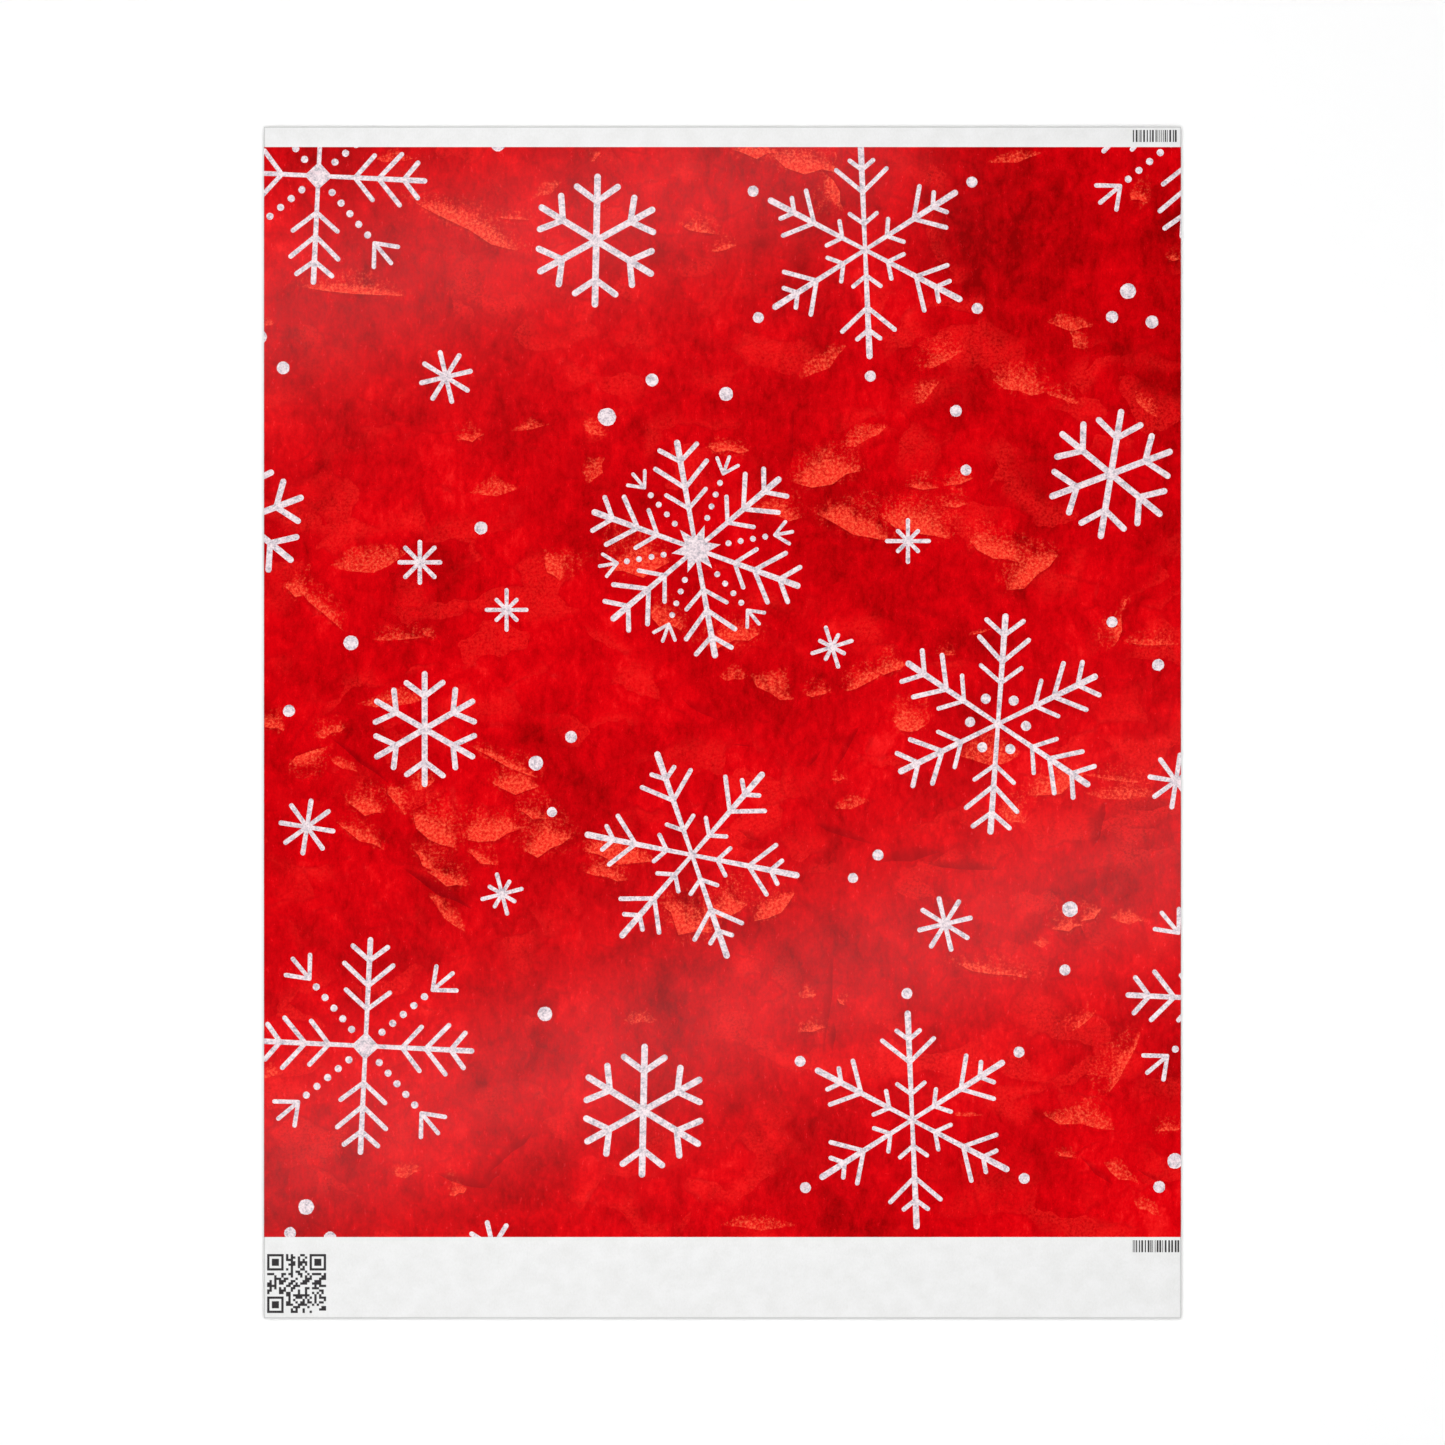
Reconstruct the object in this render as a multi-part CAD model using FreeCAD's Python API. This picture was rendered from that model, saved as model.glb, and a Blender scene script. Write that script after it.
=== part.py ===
import FreeCAD, Part
import math
import os

# Printed gift wrap, 762 mm (30 in) wide, as one sheet that lies flat and rolls up with its print outside.
# Paper bends anywhere, and a rigid body can't, so the one sheet is divided by straight cuts across its
# width into strips that stay edge to edge. Neighbouring strips turn about the edge they share.
#
# Frame: the sheet lies in XY with its printed face up (+Z) and its back on z = 0. X runs across the roll,
# and +Y points to the top edge of the print. The origin is under the middle of the sheet.
#
# The strips from the bottom edge (-Y) to the top edge (+Y):
#   bottom_margin    lies flat and carries the bare margin below the print
#   rise_1, rise_2   bend up off the table
#   lead_in          the straight run from the table up to the top of the roll
#   wrap_01 ...      turn down one after another and wind up inwards; the last one holds the top edge

# Driving dimensions, mm and degrees
SHEET_WIDTH = 762.0
SHEET_LENGTH = 990.0
PAPER_THICKNESS = 0.12
FLAT_LENGTH = 84.0
RISE_LENGTH = 18.0
RISE_STRIPS = 2
LEAD_IN_SLOPE = 36.0
STRIPS_PER_TURN = 10
WRAP_STRIPS = 48
WIDTH_STEP = 0.11


def wrap_lengths(total):
    """Lengths of the wound strips, outermost first, which add up to total.

    Each is WIDTH_STEP shorter than the one before it, so each turn of the roll is smaller than the turn
    around it by more than the paper's thickness and the height of the strips' corners.
    """
    first = total / WRAP_STRIPS + WIDTH_STEP * (WRAP_STRIPS - 1) / 2
    return [first - WIDTH_STEP * i for i in range(WRAP_STRIPS)]


def lead_in_length(outer_strip):
    """Length of a ramp that leaves the table and meets the roll's top while the roll's underside just clears
    the table: the tangent length between two lines at LEAD_IN_SLOPE and a circle of the roll's outer radius.
    """
    half_turn = math.radians(360.0 / STRIPS_PER_TURN / 2)
    outer_radius = outer_strip / (2 * math.sin(half_turn))
    return outer_radius / math.tan(math.radians(LEAD_IN_SLOPE) / 2)


def strip_lengths():
    """Every strip's name and its length along Y, in order from the bottom edge."""
    fixed = FLAT_LENGTH + RISE_LENGTH * RISE_STRIPS
    lead_in = 0.0
    # The ramp and the strips share what the flat part leaves, and each one's length sets the other's.
    for _ in range(20):
        wound = wrap_lengths(SHEET_LENGTH - fixed - lead_in)
        lead_in = lead_in_length(wound[0])
    wound = wrap_lengths(SHEET_LENGTH - fixed - lead_in)
    strips = [("bottom_margin", FLAT_LENGTH)]
    strips += [(f"rise_{i + 1}", RISE_LENGTH) for i in range(RISE_STRIPS)]
    strips.append(("lead_in", lead_in))
    strips += [(f"wrap_{i + 1:02d}", length) for i, length in enumerate(wound)]
    return strips


def strip_solid(start, length):
    """One strip: the full width of the sheet, from start along +Y, back face on z = 0."""
    corner = FreeCAD.Vector(-SHEET_WIDTH / 2, start, 0)
    return Part.makeBox(SHEET_WIDTH, length, PAPER_THICKNESS, corner)


def make_sheet():
    os.makedirs("parts", exist_ok=True)
    start = -SHEET_LENGTH / 2
    for name, length in strip_lengths():
        strip_solid(start, length).exportStep(f"parts/{name}.step")
        start += length


make_sheet()
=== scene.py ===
import bisect
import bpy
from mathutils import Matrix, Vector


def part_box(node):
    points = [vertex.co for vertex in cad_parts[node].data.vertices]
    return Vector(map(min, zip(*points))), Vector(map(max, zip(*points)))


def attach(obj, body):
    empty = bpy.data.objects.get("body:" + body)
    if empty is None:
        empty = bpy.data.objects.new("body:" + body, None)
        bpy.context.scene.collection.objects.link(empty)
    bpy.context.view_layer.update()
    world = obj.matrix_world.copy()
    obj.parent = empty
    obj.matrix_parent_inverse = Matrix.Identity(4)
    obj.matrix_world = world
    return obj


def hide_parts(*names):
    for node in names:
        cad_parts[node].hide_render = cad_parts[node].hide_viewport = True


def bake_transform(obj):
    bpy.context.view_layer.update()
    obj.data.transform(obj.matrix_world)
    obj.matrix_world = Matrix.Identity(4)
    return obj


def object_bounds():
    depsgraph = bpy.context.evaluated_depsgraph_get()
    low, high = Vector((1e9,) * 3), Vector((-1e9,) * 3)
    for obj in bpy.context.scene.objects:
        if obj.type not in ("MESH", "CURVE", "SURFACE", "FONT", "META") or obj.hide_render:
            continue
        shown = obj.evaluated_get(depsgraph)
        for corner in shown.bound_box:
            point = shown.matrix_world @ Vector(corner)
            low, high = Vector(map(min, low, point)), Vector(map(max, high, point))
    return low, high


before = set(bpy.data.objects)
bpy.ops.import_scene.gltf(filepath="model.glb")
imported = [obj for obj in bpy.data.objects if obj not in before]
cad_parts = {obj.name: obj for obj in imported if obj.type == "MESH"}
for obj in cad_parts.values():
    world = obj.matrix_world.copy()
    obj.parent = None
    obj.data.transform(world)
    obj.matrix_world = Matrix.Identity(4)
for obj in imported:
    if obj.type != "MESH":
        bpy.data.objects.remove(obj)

import copy
import math
import random

import bpy
from mathutils.geometry import delaunay_2d_cdt

# One sheet of gift wrap, lying flat with its printed face up. The whole face is meshed once, in millimetres
# from the middle of the sheet, with every printed shape cut into it. It is then divided by straight cuts
# half-way along the CAD strips, so that each piece carries one hinge line.

MM = 0.001
cad_low, cad_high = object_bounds()
rng = random.Random(20)

# ---------------------------------------------------------------- the sheet and its strips
strips = sorted(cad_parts, key=lambda node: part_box(node)[0].y)
strip_ends = [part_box(node)[0].y / MM for node in strips] + [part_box(strips[-1])[1].y / MM]
lengths = [strip_ends[i + 1] - strip_ends[i] for i in range(len(strips))]
HALF_WIDTH = (cad_high.x - cad_low.x) / 2 / MM
TOP_EDGE = strip_ends[-1]
BOTTOM_EDGE = strip_ends[0]
THICKNESS = (cad_high.z - cad_low.z) / MM
TOP_MARGIN = 16.8
BOTTOM_MARGIN = 67.4
PRINT_TOP = TOP_EDGE - TOP_MARGIN
PRINT_BOTTOM = BOTTOM_EDGE + BOTTOM_MARGIN

# A piece round a hinge reaches this many strip lengths each side of it into a long strip; the plan keeps
# this reach as the piece's ease.
EASE = 1.366
# A strip longer than this many of its neighbour's lengths keeps a flat piece of its own.
LONG_STRIP = 3
# The mesh: distance between cross rows, from a cut to its first row, between the points along a row and
# between the points inside a facet. Points closer than MERGE become one.
ROW_PITCH = 2.9
EDGE_ROW = 0.25
COLUMN_PITCH = 25.4
FACET_PITCH = 5.0
MERGE = 0.001
ON_LINE = 3 * MERGE
# A lip inside the thickness of the paper closes the hairline that opens between two bent pieces.
LIP_REACH = 0.3
LIP_TOP = 0.03
LIP_UNDER = 0.07
# Of the faces down a cut, the ones as far as the lip's tip take the look of the printed face.
LIP_TIP = 2


def plan_pieces():
    """Each piece as (name, bodies, start, end, hinge, ease, CAD nodes it stands for), from -Y to +Y."""
    plan = []
    start = strip_ends[0]
    last = len(strips) - 1
    for i, strip in enumerate(strips):
        bend = min(lengths[i], lengths[i + 1]) if i < last else 0
        if i < last and lengths[i] > LONG_STRIP * bend:
            end = strip_ends[i + 1] - EASE * bend
            plan.append((f"flat_{strip}", [strip], start, end, None, None, [strip]))
            start = end
        if i == last:
            continue
        hinge = strip_ends[i + 1]
        if i + 1 == last:
            end = strip_ends[-1]
        elif lengths[i + 1] > LONG_STRIP * bend:
            end = hinge + EASE * bend
        else:
            end = hinge + lengths[i + 1] / 2
        bodies = [strip, strips[i + 1]]
        plan.append((f"bend_{strips[i + 1]}", bodies, start, end, hinge, EASE * bend, bodies))
        start = end
    return plan


pieces = plan_pieces()
starts = [piece[2] for piece in pieces]


def row_positions():
    """Y of every cross row: each piece's ends, a row close to each end, and even rows between."""
    rows = []
    for _, _, start, end, _, _, _ in pieces:
        inner = end - start - 2 * EDGE_ROW
        count = max(1, round(inner / ROW_PITCH))
        rows.append(start)
        rows += [start + EDGE_ROW + inner * k / count for k in range(count + 1)]
    return rows + [TOP_EDGE]


rows = row_positions()

# ---------------------------------------------------------------- the printed shapes
PRINT, FLAKE, MARGIN, MARK, BACK = range(5)
shapes = []   # (outline, what it is, facet or None)


def add_shape(outline, kind, facet=None):
    xs = [p[0] for p in outline]
    ys = [p[1] for p in outline]
    inside = min(xs) < HALF_WIDTH and max(xs) > -HALF_WIDTH
    if inside and min(ys) < TOP_EDGE and max(ys) > BOTTOM_EDGE:
        shapes.append((outline, kind, facet))


def polar(x, y, reach, turn):
    return x + reach * math.cos(math.radians(turn)), y + reach * math.sin(math.radians(turn))


def stroke(start, end, width_start, width_end, cap_steps=6):
    """A brush stroke with round ends; both ends are the tips of the stroke."""
    angle = math.atan2(end[1] - start[1], end[0] - start[0])
    dx, dy = math.cos(angle), math.sin(angle)
    a = (start[0] + dx * width_start / 2, start[1] + dy * width_start / 2)
    b = (end[0] - dx * width_end / 2, end[1] - dy * width_end / 2)
    outline = []
    for centre, width, first in ((b, width_end, -90), (a, width_start, 90)):
        for k in range(cap_steps + 1):
            turn = math.degrees(angle) + first + 180 * k / cap_steps
            outline.append(polar(*centre, width / 2, turn))
    add_shape(outline, FLAKE)


def dot(x, y, radius, steps=14):
    add_shape([polar(x, y, radius * rng.uniform(0.96, 1.04), 360 * k / steps) for k in range(steps)], FLAKE)


def arm(x, y, turn, reach, forks, inner_width, outer_width):
    """One arm of a snowflake with pairs of branches; forks are (distance, branch length, angle, width)."""
    stroke((x, y), polar(x, y, reach, turn), inner_width, outer_width)
    for distance, branch, angle, width in forks:
        fork = polar(x, y, distance, turn)
        for side in (-1, 1):
            lean = turn + side * (angle + rng.uniform(-1.5, 1.5))
            tip = polar(*fork, branch * rng.uniform(0.97, 1.03), lean)
            stroke(polar(*fork, -width / 2, lean), tip, width, width * 1.08)


def arrow(x, y, turn, barb, shaft, width):
    """A small arrow head that points at the flake's middle, with its shaft outside it."""
    for lean, length in ((41, barb), (-41, barb), (0, shaft)):
        stroke(polar(x, y, -width / 2, turn + lean), polar(x, y, length, turn + lean), width, width * 1.15)


FERN_FORKS = ((21.4, 16.2, 52, 3.3), (47.8, 30.2, 48, 3.5), (66.5, 14.2, 52, 3.5))
PINE_FORKS = ((34.1, 23.3, 51, 3.3), (51.5, 30.7, 47, 3.7), (73.7, 21.5, 51, 3.7))
CROSS_FORKS = ((30.4, 25.9, 50, 3.6), (50.0, 29.2, 48, 3.7), (70.9, 20.7, 51, 3.8))


def fern_flake(x, y, turn, tip_dots):
    for k in range(6):
        arm(x, y, turn + 60 * k, 91, FERN_FORKS, 3.3, 5.2)
        if tip_dots:
            dot(*polar(x, y, 105.1, turn + 60 * k), 4.6)


def pine_flake(x, y, turn, star):
    for k in range(6):
        arm(x, y, turn + 60 * k, 92.2, PINE_FORKS, 3.4, 5.2)
        middle = turn + 30 + 60 * k
        if not star:
            dot(*polar(x, y, 23.3, middle), 4.2)
            continue
        for distance in (27.4, 37.6, 48.1, 58.4):
            dot(*polar(x, y, distance, middle), 2.5, 10)
        arrow(*polar(x, y, 66.4, middle), middle, 15.6, 16.4, 2.6)
    if star:
        spikes = []
        for k in range(6):
            spikes.append(polar(x, y, 10.8, turn - 10 + 60 * k))
            spikes.append(polar(x, y, 13.4, turn + 60 * k))
            spikes.append(polar(x, y, 10.8, turn + 10 + 60 * k))
            spikes.append(polar(x, y, 20.8, turn + 30 + 60 * k))
        add_shape(spikes, FLAKE)


def cross_flake(x, y, turn):
    for k in range(4):
        arm(x, y, turn + 90 * k, 90.6, CROSS_FORKS, 3.4, 4.6)
        middle = turn + 42.5 + 90 * k
        for step in range(5):
            dot(*polar(x, y, 17.9 + 11.5 * step, middle), 3.0, 12)
        arrow(*polar(x, y, 72.6, middle), middle, 21.7, 23.5, 3.2)
    add_shape([polar(x, y, 11.6, turn + 90 * k) for k in range(4)], FLAKE)


def hex_flake(x, y, turn, reach, fork, branch, width):
    for k in range(6):
        arm(x, y, turn + 60 * k, reach, ((fork, branch, 53.5, width * 0.9),), width, width)


def sparkle(x, y, turn, long_ray, short_ray, width):
    for k in range(8):
        reach = short_ray if k % 2 else long_ray
        stroke((x, y), polar(x, y, reach, turn + 45 * k), width * 0.9, width * 1.05)


HEX_FLAKES = (
    (-104.9, 400.5, 88.8, 55.7, 32.4, 23.3, 5.4),
    (322.8, 206.5, 80.7, 54.8, 30.3, 24.4, 5.2),
    (-247.5, -5.4, 90.0, 48.2, 27.2, 21.1, 4.8),
)
SPARKLES = (
    (-229.8, 287.1, 13.3, 22.9, 22.9, 3.9),
    (154.1, 150.8, 0.0, 19.1, 13.5, 3.4),
    (-251.5, 133.1, 0.0, 18.7, 18.9, 3.6),
    (-179.4, 93.6, 0.0, 18.2, 13.5, 3.3),
    (91.0, 62.7, 17.5, 18.7, 12.9, 3.3),
    (-345.3, -86.8, -9.0, 23.9, 23.9, 3.9),
    (-183.2, -142.5, 14.5, 18.5, 13.6, 3.3),
    (184.9, -167.4, 13.3, 23.7, 23.7, 3.9),
)
DOTS = (
    (-58.6, 284.6, 5.4), (2.9, 273.0, 5.8), (-96.0, 253.9, 7.5), (-200.7, 161.6, 5.4), (-308.7, 66.1, 6.2),
    (-125.9, -12.0, 5.0), (-155.0, -33.7, 6.2), (-141.7, -74.4, 4.2), (129.2, -110.1, 4.6),
    (108.4, -129.2, 4.2), (288.8, -155.0, 6.6), (284.6, -205.7, 4.6), (-147.5, -242.2, 6.2),
    (337.0, 358.6, 6.6), (323.7, 337.0, 5.0), (356.9, 332.8, 5.4), (194.0, 258.9, 5.0), (202.3, 209.8, 4.6),
    (323.7, 83.5, 4.6), (361.9, 47.8, 5.0),
)
# The pattern repeats on a square tile, a little turned on the sheet.
REPEATS = [(722.1 * m + 39.1 * n, 38.2 * m - 723.0 * n) for m in (-1, 0, 1) for n in (-1, 0, 1)]


def add_pattern():
    for dx, dy in REPEATS:
        cross_flake(-296.7 + dx, -268.8 + dy, -2.7)
        fern_flake(157.6 + dx, -330.2 + dy, 92.4, True)
        fern_flake(-25.3 + dx, -110.1 + dy, 49.0, False)
        pine_flake(-22.0 + dx, 144.2 + dy, 40.1, True)
        pine_flake(228.9 + dx, -1.2 + dy, 86.0, False)
        for x, y, *rest in HEX_FLAKES:
            hex_flake(x + dx, y + dy, *rest)
        for x, y, *rest in SPARKLES:
            sparkle(x + dx, y + dy, *rest)
        for x, y, radius in DOTS:
            dot(x + dx, y + dy, radius)


# The print copies crumpled tissue: lit facets and dark creases, as (x, y, length, width, turn, strength).
# A negative width puts the crisp side of the facet on top. A negative strength makes it a dark crease.
FACETS = (
    (-214, 413, 96, 17, -25, 0.95), (-310, 359, 88, 11, -5, 1.0), (-174, 419, 29, 3, -4, 0.8),
    (-146, 442, 28, 10, 30, 0.4), (-210, 237, 24, 7, 12, 0.8), (-160, 245, 32, 9, 10, 0.45),
    (-190, 193, 42, 14, 5, 0.45), (-378, 332, 12, 7, 0, 0.5), (-273, 469, 32, 10, 0, 0.45),
    (68, 465, 56, 22, -15, 1.0), (93, 441, 34, -10, -65, 0.8), (27, 475, 40, 11, -5, 0.8),
    (-19, 410, 34, 8, -15, 0.75), (1, 394, 22, 5, 12, 0.75), (-107, 244, 22, 10, -30, 0.65),
    (-105, 209, 26, 18, 60, 0.5), (4, 228, 36, 13, -8, 0.8), (87, 205, 58, 23, 10, 1.0),
    (83, 299, 48, 14, 35, 0.45), (118, 238, 42, 12, 25, 0.5), (-105, 470, 12, 6, 40, 0.65),
    (242, 469, 46, 7, 10, 0.5), (346, 436, 19, 11, -30, 0.9), (289, 331, 38, 14, -5, 0.55),
    (296, 317, 24, 12, -50, 0.5), (182, 302, 36, 9, 22, 0.6), (246, 280, 44, 22, -15, 0.6),
    (281, 270, 34, 7, -20, 0.6), (169, 274, 28, 16, 40, 0.4), (165, 196, 30, 5, -3, 0.75),
    (196, 200, 26, 6, 15, 0.8), (193, 181, 24, 5, 4, 0.75), (352, 265, 28, 12, -50, 0.4),
    (375, 386, 14, 5, -10, 0.75), (-295, 135, 64, 22, 10, 0.5), (-354, 110, 24, 11, -20, 0.75),
    (-333, 93, 50, 8, -43, 0.8), (-270, 70, 44, 6, 3, 0.6), (-245, 74, 14, 5, -40, 0.75),
    (-141, 129, 27, 17, -60, 0.8), (-274, 18, 58, 11, 5, 0.55), (-326, -8, 28, 11, 20, 0.65),
    (-374, -1, 22, 16, -30, 0.75), (-345, -28, 34, -11, 25, 0.85), (-315, -35, 26, 8, -25, 0.5),
    (-181, -33, 64, 6, -25, 0.85), (-173, -51, 40, 17, -5, 0.95), (-271, -64, 29, 11, -60, 0.85),
    (-249, -51, 22, 14, 20, 0.65), (-297, -70, 33, 15, -15, 0.85), (-240, -89, 46, 24, -40, 0.95),
    (-192, -92, 49, 21, 10, 0.95), (-146, -100, 42, 25, 15, 1.0), (-301, -94, 46, 9, -30, 0.8),
    (-247, -115, 28, 11, -45, 0.85), (-200, -112, 30, 9, -25, 0.85), (-158, -76, 28, 7, -15, 0.75),
    (-70, 131, 54, 21, 8, 0.95), (-47, 87, 34, 18, -40, 0.75), (7, 70, 50, 15, 12, 0.9),
    (45, 174, 42, 14, -10, 0.65), (108, 163, 64, 24, -20, 0.95), (79, 25, 22, 7, 10, 0.75),
    (118, 35, 37, 10, 30, 0.85), (41, 30, 42, 20, -30, 0.55), (9, 39, 24, 11, 0, 0.4),
    (-88, -110, 60, 21, -8, 0.9), (106, -68, 32, 11, 10, 0.45), (96, -47, 13, 3, 5, 0.75),
    (160, 163, 62, 21, -18, 0.85), (226, 144, 50, 28, -25, 0.85), (257, 125, 52, 19, 35, 0.95),
    (140, 45, 26, 11, 15, 0.85), (155, 1, 29, 19, -10, 0.85), (328, 76, 27, 8, 75, 0.85),
    (356, 66, 46, 6, -3, 0.75), (334, 98, 16, 3, 60, 0.65), (276, -52, 49, 19, 20, 0.8),
    (221, -26, 54, 23, 0, 0.5), (240, -77, 27, 15, -30, 0.65), (327, -47, 58, 3, -8, 0.65),
    (331, -60, 62, 13, -3, 0.45), (186, 57, 16, 4, 0, 0.65), (213, 75, 20, 4, 15, 0.55),
    (-229, -158, 47, 13, -45, 0.55), (-229, -130, 35, 13, -20, 0.85), (-220, -390, 16, 10, 20, 1.0),
    (-264, -372, 28, 14, 0, 0.4), (-375, -292, 20, 11, 0, 0.45), (-31, -162, 50, 27, -30, 0.9),
    (4, -154, 34, 17, 10, 0.95), (43, -153, 41, 17, 35, 1.0), (-97, -127, 38, 14, -10, 0.75),
    (74, -255, 24, 6, 8, 0.85), (98, -232, 9, 5, -40, 0.85), (70, -226, 16, 11, 0, 0.4),
    (-68, -247, 28, 13, 0, 0.35), (29, -418, 62, 11, 0, 0.35), (224, -206, 64, 10, -12, 0.8),
    (286, -170, 27, 9, 8, 0.9), (306, -160, 21, 8, 30, 0.9), (337, -163, 33, 11, -8, 0.55),
    (265, -183, 18, 8, 0, 0.5), (300, -248, 28, 6, 40, 0.6), (333, -284, 60, 11, 62, 0.65),
    (296, -331, 62, 18, -12, 0.5), (285, -360, 18, 4, -10, 0.75), (331, -374, 32, 14, -30, 0.55),
    (370, -338, 24, 7, 8, 0.6), (203, -326, 30, 3, 0, 0.55), (353, -403, 26, 14, -30, 0.4),
    (-302, -31, 60, 6, -38, -0.85), (-237, -138, 66, 10, -31, -0.95), (-177, -358, 52, 9, 42, -0.7),
    (-214, -381, 48, 8, -15, -0.75), (-192, -379, 22, 9, 45, -0.6), (104, -20, 38, 7, 60, -0.75),
    (76, -30, 18, 4, 50, -0.7), (17, -19, 18, 3, -5, -0.7), (-18, 11, 36, 7, -30, -0.55),
    (100, -92, 50, 8, -20, -0.65), (22, -94, 22, 5, -25, -0.6), (58, 238, 44, 4, 88, -0.7),
    (312, -85, 40, 11, 75, -0.75), (354, -69, 42, 10, 5, -0.65), (154, -112, 54, 10, 10, -0.65),
    (198, -119, 62, 8, -5, -0.75), (88, -232, 90, 6, 84, -0.6), (92, -262, 24, 5, 88, -0.7),
    (306, -134, 24, 10, 70, -0.5), (310, -372, 36, 6, -40, -0.65), (358, -378, 30, 5, -25, -0.65),
)
# Outlines across a facet at five places along it: its two sides as shares of its width, its dark side in
# millimetres, and its glow as a share of the glow's reach.
KNOTS = (-1.0, -0.5, 0.1, 0.55, 1.0)
CRISP_SIDE = (-0.02, -0.28, -0.38, -0.22, -0.04)
SOFT_SIDE = (0.12, 0.68, 0.95, 0.62, 0.16)
SHADE_BAND = (0.3, 2.6, 3.8, 2.4, 0.3)
HALO_BAND = (0.1, 0.9, 1.0, 0.9, 0.1)
# Facets stronger than this also get a dark side, or a glow.
SHADE_FROM = 0.8
HALO_FROM = 0.75
FAINTEST = 0.38


class Facet:
    """A patch along a fold: full strength at its crisp side, fading out across it to the soft side."""

    def __init__(self, x, y, length, width, turn, strength):
        self.x, self.y = x, y
        self.turn = math.radians(turn)
        self.half = length / 2
        self.flip = -1 if width < 0 else 1
        self.strength = strength if strength < 0 else FAINTEST + (1 - FAINTEST) * strength
        self.crisp = [abs(width) * c * rng.uniform(0.2, 1.6) for c in CRISP_SIDE]
        self.soft = [abs(width) * c * rng.uniform(0.55, 1.4) for c in SOFT_SIDE]

    def shade(self):
        """The dark side of the same fold, a narrow band outside the crisp side."""
        band = copy.copy(self)
        band.flip = -self.flip
        band.strength = -0.5 * self.strength
        band.crisp = [-c for c in self.crisp]
        band.soft = [-c + e * rng.uniform(0.4, 1.5) for c, e in zip(self.crisp, SHADE_BAND)]
        return band

    def outline(self):
        points = [(KNOTS[k] * self.half, self.crisp[k]) for k in range(5)]
        points += [(KNOTS[k] * self.half, self.soft[k]) for k in (4, 3, 2, 1, 0)]
        world = [self.to_sheet(u, v * self.flip) for u, v in points]
        return world if self.flip > 0 else world[::-1]

    def to_sheet(self, u, v):
        c, s = math.cos(self.turn), math.sin(self.turn)
        return self.x + u * c - v * s, self.y + u * s + v * c

    def local(self, x, y):
        c, s = math.cos(self.turn), math.sin(self.turn)
        dx, dy = x - self.x, y - self.y
        return (dx * c + dy * s) / self.half, (-dx * s + dy * c) * self.flip

    def sides(self, u):
        k = min(3, max(0, bisect.bisect_right(KNOTS, u) - 1))
        t = (u - KNOTS[k]) / (KNOTS[k + 1] - KNOTS[k])
        low = self.crisp[k] + (self.crisp[k + 1] - self.crisp[k]) * t
        return low, self.soft[k] + (self.soft[k + 1] - self.soft[k]) * t

    def share(self, x, y):
        """0 at the crisp side of the facet to 1 at the soft side; None outside it."""
        u, v = self.local(x, y)
        if abs(u) > 1.001:
            return None
        low, high = self.sides(max(-1, min(1, u)))
        if high - low < 1e-6:
            return 0.5
        t = (v - low) / (high - low)
        return None if t < -0.02 or t > 1.02 else t

    def value(self, x, y):
        t = self.share(x, y)
        if t is None:
            return 0.0
        u = max(-1.0, min(1.0, self.local(x, y)[0]))
        return self.fade(u, max(0.0, min(1.0, t)))

    def fade(self, u, t):
        """Strength at u, -1 to 1 along the facet, and t, 0 to 1 from its crisp side to its soft side."""
        end = 1 + 0.8 * u ** 5 if u < 0 else 1 - 0.5 * u ** 5
        return abs(self.strength) * (1 - t ** 2.2) * end


class Halo(Facet):
    """A faint glow of lit tissue round a fold; it fades to both sides."""

    def __init__(self, fold):
        vars(self).update(vars(fold))
        self.half = fold.half * rng.uniform(1.2, 1.7)
        self.strength = 0.30 * fold.strength
        low = -min(fold.crisp) + 3
        self.crisp = [-low * e * rng.uniform(0.8, 1.6) for e in HALO_BAND]
        high = max(fold.soft) + 6
        self.soft = [high * e * rng.uniform(0.8, 1.8) for e in HALO_BAND]

    def fade(self, u, t):
        return self.strength * 4 * t * (1 - t) * (1 - u * u)


def mesh_points(facet, outline):
    """Corners for the mesh inside a facet, so that the fade is smooth across it."""
    inner = []
    ys = [p[1] for p in outline]
    for y in rows[bisect.bisect_left(rows, min(ys)):bisect.bisect_right(rows, max(ys))]:
        x = math.ceil(min(p[0] for p in outline) / FACET_PITCH) * FACET_PITCH
        while x < max(p[0] for p in outline):
            inside = facet.share(x, y)
            if inside is not None and 0.1 < inside < 0.9:
                inner.append((x, y))
            x += FACET_PITCH
    return inner


def add_facets():
    points = []
    for numbers in FACETS:
        facet = Facet(*numbers)
        parts = [facet]
        if facet.strength > SHADE_FROM:
            parts.append(facet.shade())
        if facet.strength > HALO_FROM:
            parts.append(Halo(facet))
        for part in parts:
            outline = part.outline()
            add_shape(outline, PRINT, part)
            points += mesh_points(part, outline)
    return points


def rectangle(x0, y0, x1, y1):
    return [(x0, y0), (x1, y0), (x1, y1), (x0, y1)]


BAR_ROWS = ((PRINT_TOP + 4.2, PRINT_TOP + 14.2), (PRINT_BOTTOM - 12.6, PRINT_BOTTOM - 2.6))
BAR_RUN = (HALF_WIDTH - 40, HALF_WIDTH - 3)
BAR_WIDTHS = (0.6, 1.0, 1.5)
BAR_GAPS = (0.7, 1.0, 1.4)
BLOCK_CORNER = (-HALF_WIDTH + 2.6, BOTTOM_EDGE + 4.3)
BLOCK_SIDE = 49
BLOCK_CELLS = 25
RINGED = 7   # cells across one of the three ringed squares in the block's corners


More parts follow.
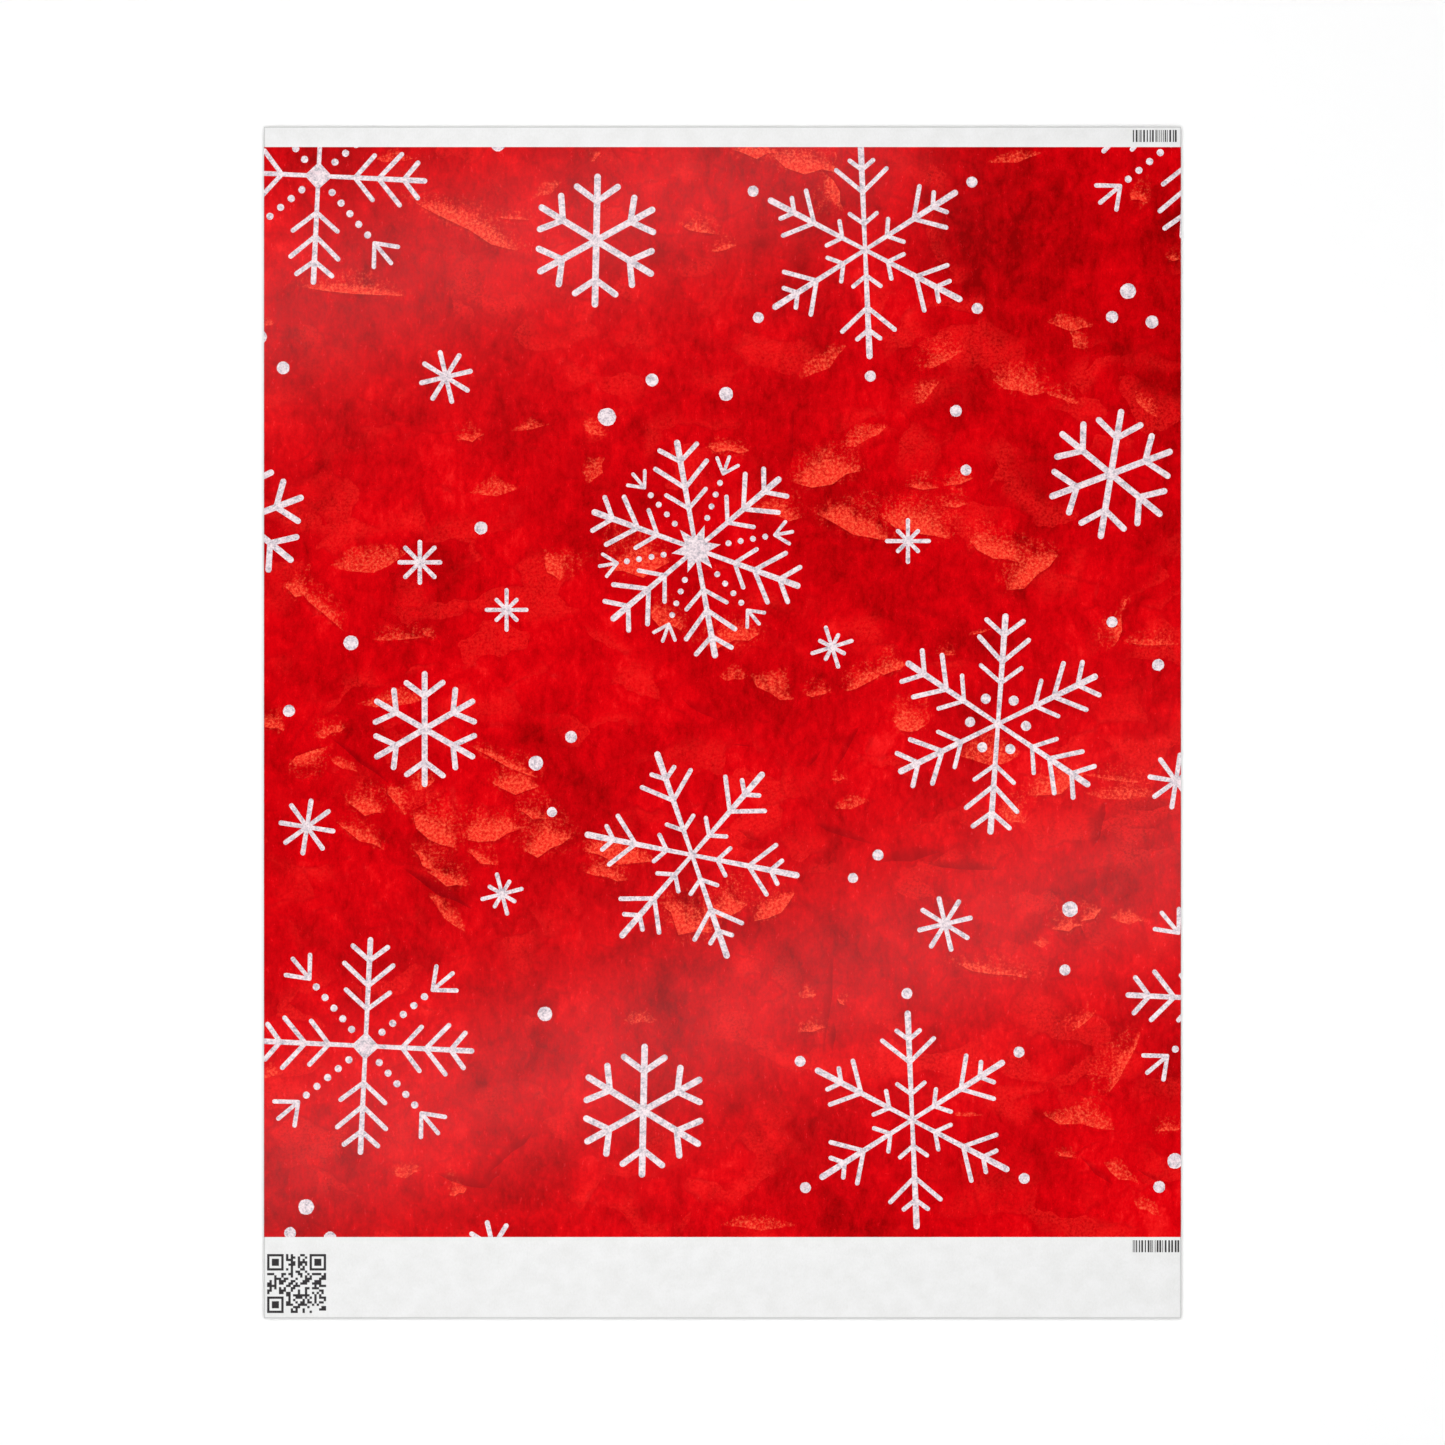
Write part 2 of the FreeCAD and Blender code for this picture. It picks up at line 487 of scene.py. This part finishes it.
def add_marks():
    """Plain bars by the right edge and a block of squares in the bottom margin; they encode nothing."""
    for low, high in BAR_ROWS:
        x = BAR_RUN[0]
        while x < BAR_RUN[1]:
            bar = rng.choice(BAR_WIDTHS)
            add_shape(rectangle(x, low, x + bar, high), MARK)
            x += bar + rng.choice(BAR_GAPS)
    cell = BLOCK_SIDE / BLOCK_CELLS
    far = BLOCK_CELLS - RINGED
    ringed = ((0, 0), (0, far), (far, far))
    for i in range(BLOCK_CELLS):
        for j in range(BLOCK_CELLS):
            near = [c for c in ringed if -1 <= i - c[0] <= RINGED and -1 <= j - c[1] <= RINGED]
            dark = rng.random() < 0.5
            if near:
                ring = max(abs(i - near[0][0] - RINGED // 2), abs(j - near[0][1] - RINGED // 2))
                dark = ring in (0, 1, 3)
            if dark:
                x, y = BLOCK_CORNER[0] + i * cell, BLOCK_CORNER[1] + j * cell
                add_shape(rectangle(x, y, x + cell, y + cell), MARK)


add_pattern()
facet_points = add_facets()
add_marks()
add_shape(rectangle(-HALF_WIDTH, PRINT_BOTTOM, HALF_WIDTH, PRINT_TOP), MARGIN)
PANEL = len(shapes) - 1

# ---------------------------------------------------------------- one mesh of the whole face
verts, edges, faces = [], [], []
columns = round(2 * HALF_WIDTH / COLUMN_PITCH)
for y in rows:
    first = len(verts)
    verts += [(-HALF_WIDTH + 2 * HALF_WIDTH * k / columns, y) for k in range(columns + 1)]
    edges += [(first + k, first + k + 1) for k in range(columns)]
for x in (-HALF_WIDTH, HALF_WIDTH):
    first = len(verts)
    verts += [(x, BOTTOM_EDGE), (x, TOP_EDGE)]
    edges.append((first, first + 1))
verts += facet_points
for outline, _, _ in shapes:
    first = len(verts)
    verts += outline
    faces.append(list(range(first, len(verts))))
points, _, triangles, _, _, sources = delaunay_2d_cdt(verts, edges, faces, 0, MERGE)
points = [(p[0], p[1]) for p in points]

groups = [[] for _ in pieces]
for corners, inside in zip(triangles, sources):
    cx = sum(points[k][0] for k in corners) / 3
    cy = sum(points[k][1] for k in corners) / 3
    if abs(cx) > HALF_WIDTH or not BOTTOM_EDGE < cy < TOP_EDGE:
        continue
    kinds = {shapes[k][1] for k in inside}
    look = MARGIN
    if PANEL in inside:
        look = FLAKE if FLAKE in kinds else PRINT
    elif MARK in kinds:
        look = MARK
    (ax, ay), (bx, by), (ex, ey) = (points[k] for k in corners)
    turned = (bx - ax) * (ey - ay) - (by - ay) * (ex - ax) < 0
    corners = tuple(corners[::-1]) if turned else tuple(corners)
    found = [shapes[k][2] for k in inside if shapes[k][2]] if look == PRINT else []
    groups[bisect.bisect_right(starts, cy) - 1].append((corners, look, found))


# ---------------------------------------------------------------- materials
def linear(*rgb):
    """Colour as seen on a screen, 0 to 255, as linear light."""
    parts = [c / 255 for c in rgb]
    return tuple(c / 12.92 if c <= 0.04045 else ((c + 0.055) / 1.055) ** 2.4 for c in parts) + (1.0,)


class Graph:
    def __init__(self, name):
        self.material = bpy.data.materials.new(name)
        self.material.use_nodes = True
        self.tree = self.material.node_tree
        self.surface = self.tree.nodes["Principled BSDF"]

    def node(self, kind, **inputs):
        made = self.tree.nodes.new(kind)
        for key, value in inputs.items():
            self.set(made.inputs[key.replace("_", " ")], value)
        return made

    def set(self, socket, value):
        if isinstance(value, bpy.types.NodeSocket):
            self.tree.links.new(value, socket)
        else:
            socket.default_value = value

    def uv(self, name):
        made = self.tree.nodes.new("ShaderNodeUVMap")
        made.uv_map = name
        return made.outputs["UV"]

    def stretch(self, vector, x, y):
        made = self.tree.nodes.new("ShaderNodeMapping")
        self.set(made.inputs["Vector"], vector)
        made.inputs["Scale"].default_value = (x, y, 1)
        return made.outputs["Vector"]

    def noise(self, vector, scale, detail=2.0, rough=0.5, warp=0.0):
        made = self.node("ShaderNodeTexNoise", Vector=vector, Scale=scale, Detail=detail, Roughness=rough,
                         Distortion=warp)
        return made.outputs["Fac"]

    def maths(self, operation, a, b=0.0, clamp=False):
        made = self.tree.nodes.new("ShaderNodeMath")
        made.operation = operation
        made.use_clamp = clamp
        self.set(made.inputs[0], a)
        self.set(made.inputs[1], b)
        return made.outputs[0]

    def weighted(self, *parts):
        """The sum of (value, weight) pairs."""
        total = None
        for value, weight in parts:
            part = self.maths("MULTIPLY", value, weight)
            total = part if total is None else self.maths("ADD", total, part)
        return total

    def vectors(self, operation, *values):
        made = self.tree.nodes.new("ShaderNodeVectorMath")
        made.operation = operation
        for socket, value in zip(made.inputs, values):
            self.set(socket, value)
        return made.outputs["Value" if operation in ("DISTANCE", "DOT_PRODUCT") else "Vector"]

    def remap(self, value, low, high, to_low=0.0, to_high=1.0):
        made = self.tree.nodes.new("ShaderNodeMapRange")
        made.interpolation_type = "SMOOTHSTEP"
        for key, number in zip(("Value", "From Min", "From Max", "To Min", "To Max"),
                               (value, low, high, to_low, to_high)):
            self.set(made.inputs[key], number)
        return made.outputs["Result"]

    def mix(self, factor, a, b):
        made = self.tree.nodes.new("ShaderNodeMix")
        made.data_type = "RGBA"
        self.set(made.inputs[0], factor)
        self.set(made.inputs[6], a)
        self.set(made.inputs[7], b)
        return made.outputs[2]

    def ramp(self, value, stops):
        made = self.tree.nodes.new("ShaderNodeValToRGB")
        self.set(made.inputs["Fac"], value)
        elements = made.color_ramp.elements
        while len(elements) < len(stops):
            elements.new(0.5)
        for element, (position, colour) in zip(elements, stops):
            element.position = position
            element.color = colour
        return made.outputs["Color"]

    def painted_edge_shade(self, place):
        """Painted shade along the cut edges of the sheet: 1 at the edge, fading to 0 a millimetre in."""
        split = self.node("ShaderNodeSeparateXYZ", Vector=place)
        side = self.maths("SUBTRACT", HALF_WIDTH * MM, self.maths("ABSOLUTE", split.outputs["X"]))
        end = self.maths("SUBTRACT", TOP_EDGE * MM, self.maths("ABSOLUTE", split.outputs["Y"]))
        return self.remap(self.maths("MINIMUM", side, end), 0.0012, 0.0003)

    def bump(self, height, strength, distance):
        made = self.node("ShaderNodeBump", Height=height, Strength=strength, Distance=distance)
        self.set(self.surface.inputs["Normal"], made.outputs["Normal"])

    def finish(self, colour, roughness, specular=0.5):
        self.set(self.surface.inputs["Base Color"], colour)
        self.set(self.surface.inputs["Roughness"], roughness)
        self.surface.inputs["Specular IOR Level"].default_value = specular
        return self.material


CELLS = 21.0   # crumpled cells to the metre, before they are warped


def print_material():
    g = Graph("red_print")
    place = g.uv("sheet")
    # Uneven ink: broad clouds, hand-sized blotches, faint upright streaks and paper grain.
    cloud = g.noise(g.stretch(place, 1, 0.8), 11, 3, 0.55, 0.3)
    blotch = g.noise(g.stretch(place, 1, 0.75), 50, 4, 0.66, 0.5)
    streak = g.noise(g.stretch(place, 1, 0.45), 210, 3, 0.62)
    grain = g.noise(g.stretch(place, 1, 0.7), 560, 3, 0.7)
    tone = g.weighted((cloud, 0.35), (blotch, 0.32), (streak, 0.19), (grain, 0.14))
    # Darker near the top right corner: partly the print's own tone, partly painted shade where the light
    # falls off.
    from_corner = g.vectors("DISTANCE", place, (0.36, 0.44, 0))
    tone = g.maths("SUBTRACT", tone, g.remap(from_corner, 0.45, 0.05, 0.0, 0.035))
    red = g.ramp(tone, (
        (0.37, linear(144, 0, 3)),
        (0.44, linear(181, 0, 6)),
        (0.50, linear(205, 0, 9)),
        (0.56, linear(225, 2, 12)),
        (0.64, linear(246, 26, 28)),
    ))

    # Crumpled tissue: warped cells, each lit across from one side, with dark lines where some of them meet.
    wander = g.node("ShaderNodeTexNoise", Vector=place, Scale=22.0, Detail=3.0)
    warped = g.vectors("MULTIPLY_ADD", wander.outputs["Color"], (0.05, 0.05, 0), place)
    bent = g.stretch(warped, 1, 1.5)
    cells = g.node("ShaderNodeTexVoronoi", Vector=bent, Scale=CELLS)
    offset = g.vectors("SUBTRACT", bent, cells.outputs["Position"])
    lean = g.vectors("SUBTRACT", cells.outputs["Color"], (0.5, 0.5, 0))
    slope = g.vectors("DOT_PRODUCT", offset, lean)
    speck = g.noise(place, 430, 3, 0.7)
    zone = g.noise(place, 9, 2, 0.5, 0.6)
    facet = g.maths("MULTIPLY", g.remap(slope, 0.001, 0.010), g.remap(zone, 0.44, 0.60))
    facet = g.maths("MULTIPLY", facet, g.remap(speck, 0.36, 0.60, 0.10, 1.0))
    red = g.mix(g.maths("MULTIPLY", facet, 0.50), red, linear(248, 34, 30))
    seam = g.node("ShaderNodeTexVoronoi", Vector=bent, Scale=CELLS)
    seam.feature = "DISTANCE_TO_EDGE"
    line = g.maths("MULTIPLY", g.remap(seam.outputs["Distance"], 0.10, 0.0), g.remap(blotch, 0.46, 0.62))
    red = g.mix(g.maths("MULTIPLY", line, 0.30), red, linear(140, 0, 6))

    # The facets and creases of the mesh, with a grainy edge: X is how lit a point is, Y how dark.
    field = g.node("ShaderNodeSeparateXYZ", Vector=g.uv("crumple"))
    rough_edge = g.maths("MULTIPLY", g.maths("SUBTRACT", speck, 0.5), 1.6)
    ragged = g.maths("MULTIPLY", g.maths("SUBTRACT", streak, 0.5), 1.1)
    lit = g.maths("ADD", field.outputs["X"], g.maths("ADD", rough_edge, ragged))
    lit = g.maths("MULTIPLY", g.remap(lit, 0.10, 1.05), g.remap(field.outputs["X"], 0.0, 0.15))
    orange = g.ramp(speck, (
        (0.36, linear(238, 34, 26)),
        (0.50, linear(253, 62, 44)),
        (0.62, linear(255, 98, 66)),
    ))
    red = g.mix(g.maths("MULTIPLY", lit, 0.92), red, orange)
    dark = g.maths("MULTIPLY", field.outputs["Y"], g.remap(grain, 0.25, 0.6, 0.55, 1.0))
    red = g.mix(g.maths("MULTIPLY", dark, 0.74), red, linear(124, 0, 6))
    # Painted shade darkens the print in a thin line along the sheet's cut edges.
    red = g.mix(g.maths("MULTIPLY", g.painted_edge_shade(place), 0.35), red, linear(120, 0, 8))
    g.bump(g.maths("ADD", g.maths("MULTIPLY", grain, 0.35), streak), 0.10, 0.00012)
    return g.finish(red, g.remap(streak, 0.3, 0.7, 0.225, 0.275), 0.42)


def flake_material():
    g = Graph("flake_print")
    place = g.uv("sheet")
    blot = g.noise(place, 190, 4, 0.72)
    grain = g.noise(place, 620, 2, 0.6)
    tone = g.weighted((blot, 0.62), (grain, 0.38))
    colour = g.ramp(tone, (
        (0.37, linear(162, 154, 163)),
        (0.44, linear(202, 189, 197)),
        (0.51, linear(232, 215, 220)),
        (0.58, linear(250, 236, 239)),
    ))
    blush = g.remap(g.noise(place, 95, 2, 0.5), 0.58, 0.75)
    colour = g.mix(g.maths("MULTIPLY", blush, 0.3), colour, linear(226, 176, 190))
    g.bump(grain, 0.2, 0.0001)
    return g.finish(colour, g.remap(blot, 0.3, 0.7, 0.36, 0.46))


def paper_material(name, shade, roughness):
    g = Graph(name)
    place = g.uv("sheet")
    fibre = g.noise(g.stretch(place, 1, 0.6), 700, 4, 0.65, 0.6)
    cloud = g.noise(place, 60, 3, 0.55)
    tone = g.weighted((fibre, 0.5), (cloud, 0.5))
    soft = tuple(c - d for c, d in zip(shade, (9, 9, 10)))
    colour = g.ramp(tone, ((0.36, linear(*soft)), (0.62, linear(*shade))))
    # Painted shade greys the bare paper in a thin line along the sheet's cut edges.
    colour = g.mix(g.maths("MULTIPLY", g.painted_edge_shade(place), 0.7), colour, linear(176, 176, 176))
    g.bump(fibre, 0.35, 0.00012)
    return g.finish(colour, roughness)


def mark_material():
    g = Graph("mark_ink")
    grain = g.noise(g.uv("sheet"), 900, 3, 0.6)
    colour = g.ramp(grain, ((0.35, linear(34, 32, 34)), (0.65, linear(62, 58, 60))))
    g.bump(grain, 0.2, 0.0001)
    return g.finish(colour, 0.5)


looks = {
    PRINT: print_material(),
    FLAKE: flake_material(),
    MARGIN: paper_material("bare_margin", (239, 239, 239), 0.42),
    MARK: mark_material(),
    BACK: paper_material("paper_back", (240, 238, 234), 0.7),
}


# ---------------------------------------------------------------- pieces
class Sheet:
    """Collects one piece's corners and faces. Every corner keeps its place on the flat sheet."""

    def __init__(self, start, end):
        self.start, self.end = start, end
        self.co, self.faces, self.looks, self.field, self.smooth = [], [], [], [], []
        self.made = {}

    def vertex(self, key, dy, z):
        full = (key, dy, z)
        if full not in self.made:
            self.made[full] = len(self.co)
            x, y = points[key]
            self.co.append((x * MM, (y + dy) * MM, z * MM))
        return self.made[full]

    def face(self, corners, look, field=None, smooth=False):
        self.faces.append(corners)
        self.looks.append(look)
        self.field.append(field or [(0.0, 0.0)] * len(corners))
        self.smooth.append(smooth)

    def on_cut(self, key):
        y = points[key][1]
        at_start = abs(y - self.start) < ON_LINE and self.start > BOTTOM_EDGE + 1
        return at_start or (abs(y - self.end) < ON_LINE and self.end < TOP_EDGE - 1)

    def profile(self, key):
        """The corners down through the thickness at one point of the rim, printed face first."""
        steps = [(0, THICKNESS), (0, 0)]
        if self.on_cut(key):
            top, under = THICKNESS - LIP_TOP, THICKNESS - LIP_UNDER
            steps[1:1] = [(0, top), (LIP_REACH, top), (LIP_REACH, under), (0, under)]
        return [self.vertex(key, dy, z) for dy, z in steps]

    def wall(self, a, b, look, values):
        """The rim below the edge of the printed face from a to b, with the paper on the edge's left."""
        left, right = self.profile(a), self.profile(b)
        level = abs(points[a][1] - points[b][1]) < ON_LINE
        if not (level and self.on_cut(a) and self.on_cut(b)):
            self.face([right[0], left[0], *left[1:], *right[:0:-1]], BACK)
            return
        for k in range(len(left) - 1):
            corners = [right[k], left[k], left[k + 1], right[k + 1]]
            if k <= LIP_TIP:
                self.face(corners, look, [values[1], values[0], values[0], values[1]])
            else:
                self.face(corners, BACK)


def build_piece(plan, group):
    name, bodies, start, end, hinge, ease, stands_for = plan
    sheet = Sheet(start, end)
    rim = {}
    for corners, look, found in group:
        values = []
        for key in corners:
            x, y = points[key]
            lit = max([f.value(x, y) for f in found if f.strength > 0], default=0.0)
            dark = max([f.value(x, y) for f in found if f.strength < 0], default=0.0)
            values.append((lit, dark))
        sheet.face([sheet.vertex(k, 0, THICKNESS) for k in corners], look, values, True)
        sheet.face([sheet.vertex(k, 0, 0) for k in reversed(corners)], BACK, None, True)
        for i in range(3):
            a, b = corners[i], corners[(i + 1) % 3]
            if (b, a) in rim:
                del rim[(b, a)]
            else:
                rim[(a, b)] = (look, (values[i], values[(i + 1) % 3]))
    for (a, b), (look, values) in rim.items():
        sheet.wall(a, b, look, values)

    mesh = bpy.data.meshes.new(name)
    mesh.from_pydata(sheet.co, [], sheet.faces)
    used = sorted(set(sheet.looks))
    for look in used:
        mesh.materials.append(looks[look])
    mesh.polygons.foreach_set("material_index", [used.index(look) for look in sheet.looks])
    mesh.polygons.foreach_set("use_smooth", sheet.smooth)
    walls = set()
    for polygon, smooth in zip(mesh.polygons, sheet.smooth):
        if not smooth:
            walls.update(polygon.edge_keys)
    crisp = mesh.attributes.new("sharp_edge", "BOOLEAN", "EDGE")
    crisp.data.foreach_set("value", [edge.key in walls for edge in mesh.edges])
    place = mesh.uv_layers.new(name="sheet")
    crumple = mesh.uv_layers.new(name="crumple")
    place.data.foreach_set("uv", [c for face in sheet.faces for k in face for c in sheet.co[k][:2]])
    crumple.data.foreach_set("uv", [c for field in sheet.field for pair in field for c in pair])
    place.active_render = True
    mesh.uv_layers.active = place
    mesh.update()
    piece = bpy.data.objects.new(name, mesh)
    bpy.context.scene.collection.objects.link(piece)
    if hinge is None:
        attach(piece, bodies[0])
    else:
        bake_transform(piece)
    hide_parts(*stands_for)
    return piece


for plan, group in zip(pieces, groups):
    build_piece(plan, group)

# ---------------------------------------------------------------- floor, light and camera
# The floor is a little below the sheet, so that a soft shadow shows round its edges.
FLOOR_DROP = 0.0028
FLOOR_REACH = 30.0
centre = (cad_low + cad_high) / 2

floor_mesh = bpy.data.meshes.new("floor")
outline = rectangle(-FLOOR_REACH, -FLOOR_REACH, FLOOR_REACH, FLOOR_REACH)
floor_mesh.from_pydata([(x, y, cad_low.z - FLOOR_DROP) for x, y in outline], [], [(0, 1, 2, 3)])
floor = bpy.data.objects.new("floor", floor_mesh)
bpy.context.scene.collection.objects.link(floor)
white = Graph("floor_white")
floor_mesh.materials.append(white.finish(linear(252, 252, 252), 0.9, 0.0))

# A faint glow low in the sky gives the satin print its sheen from the side. The camera sees plain white.
HORIZON_GLOW = 0.30
GLOW_FULL = 0.15
GLOW_GONE = 0.60
world = bpy.data.worlds.new("studio")
bpy.context.scene.world = world
world.use_nodes = True
tree = world.node_tree
tree.nodes.clear()
coords = tree.nodes.new("ShaderNodeTexCoord")
split = tree.nodes.new("ShaderNodeSeparateXYZ")
tree.links.new(coords.outputs["Generated"], split.inputs[0])
ring = tree.nodes.new("ShaderNodeMapRange")
ring.interpolation_type = "SMOOTHSTEP"
for key, number in (
    ("From Min", GLOW_FULL), ("From Max", GLOW_GONE), ("To Min", HORIZON_GLOW), ("To Max", 0.0),
):
    ring.inputs[key].default_value = number
tree.links.new(split.outputs["Z"], ring.inputs["Value"])
glow = tree.nodes.new("ShaderNodeBackground")
glow.inputs["Color"].default_value = linear(255, 255, 255)
tree.links.new(ring.outputs["Result"], glow.inputs["Strength"])
plain = tree.nodes.new("ShaderNodeBackground")
plain.inputs["Color"].default_value = linear(253, 253, 253)
path = tree.nodes.new("ShaderNodeLightPath")
choose = tree.nodes.new("ShaderNodeMixShader")
tree.links.new(path.outputs["Is Camera Ray"], choose.inputs["Fac"])
tree.links.new(glow.outputs[0], choose.inputs[1])
tree.links.new(plain.outputs[0], choose.inputs[2])
out = tree.nodes.new("ShaderNodeOutputWorld")
tree.links.new(choose.outputs[0], out.inputs["Surface"])

# Eight soft lights in a ring light the paper evenly and leave no highlight of their own.
RING_LIGHTS = 8
RING_POWER = 0.496
RING_SIZE = math.radians(22)
RING_TILT = math.radians(42)
for k in range(RING_LIGHTS):
    lamp = bpy.data.lights.new(f"ring_{k}", "SUN")
    lamp.energy = RING_POWER
    lamp.angle = RING_SIZE
    lamp_object = bpy.data.objects.new(f"ring_{k}", lamp)
    lamp_object.rotation_euler = (RING_TILT, 0, math.radians(360 * (k + 0.5) / RING_LIGHTS))
    lamp_object.visible_glossy = False
    bpy.context.scene.collection.objects.link(lamp_object)

# The camera looks straight down on the flat sheet, which fills this share of the frame's width.
LENS = 85.0
SHARE_OF_FRAME = 0.6346
camera_data = bpy.data.cameras.new("camera")
camera_data.lens = LENS
camera_data.clip_end = 100
camera = bpy.data.objects.new("camera", camera_data)
bpy.context.scene.collection.objects.link(camera)
distance = (cad_high.x - cad_low.x) / SHARE_OF_FRAME / camera_data.sensor_width * LENS
camera.location = (centre.x, centre.y, cad_high.z + distance)
bpy.context.scene.camera = camera

# Two soft strips overhead show as faint slanted bands of sheen on the satin print.
STRIP_HEIGHT = 0.55
STRIP_WIDTH = 0.12
STRIP_POWER = 0.46   # watts for each metre
STRIPS = ((-0.18, 0.40, 16.5, 0.80), (0.02, -0.235, 18.3, 1.30))   # x, y, slope, length
spread = 1 + STRIP_HEIGHT / distance
for band, (x, y, slope, length) in enumerate(STRIPS):
    lamp = bpy.data.lights.new(f"strip_{band}", "AREA")
    lamp.shape = "RECTANGLE"
    lamp.size = length
    lamp.size_y = STRIP_WIDTH
    lamp.energy = STRIP_POWER * length
    lamp_object = bpy.data.objects.new(f"strip_{band}", lamp)
    lamp_object.location = (x * spread, y * spread, cad_high.z + STRIP_HEIGHT)
    lamp_object.rotation_euler = (0, 0, math.radians(slope))
    lamp_object.visible_camera = False
    bpy.context.scene.collection.objects.link(lamp_object)

scene = bpy.context.scene
scene.view_settings.view_transform = "Standard"
scene.view_settings.look = "None"
scene.view_settings.exposure = 0.0
scene.view_settings.gamma = 1.0
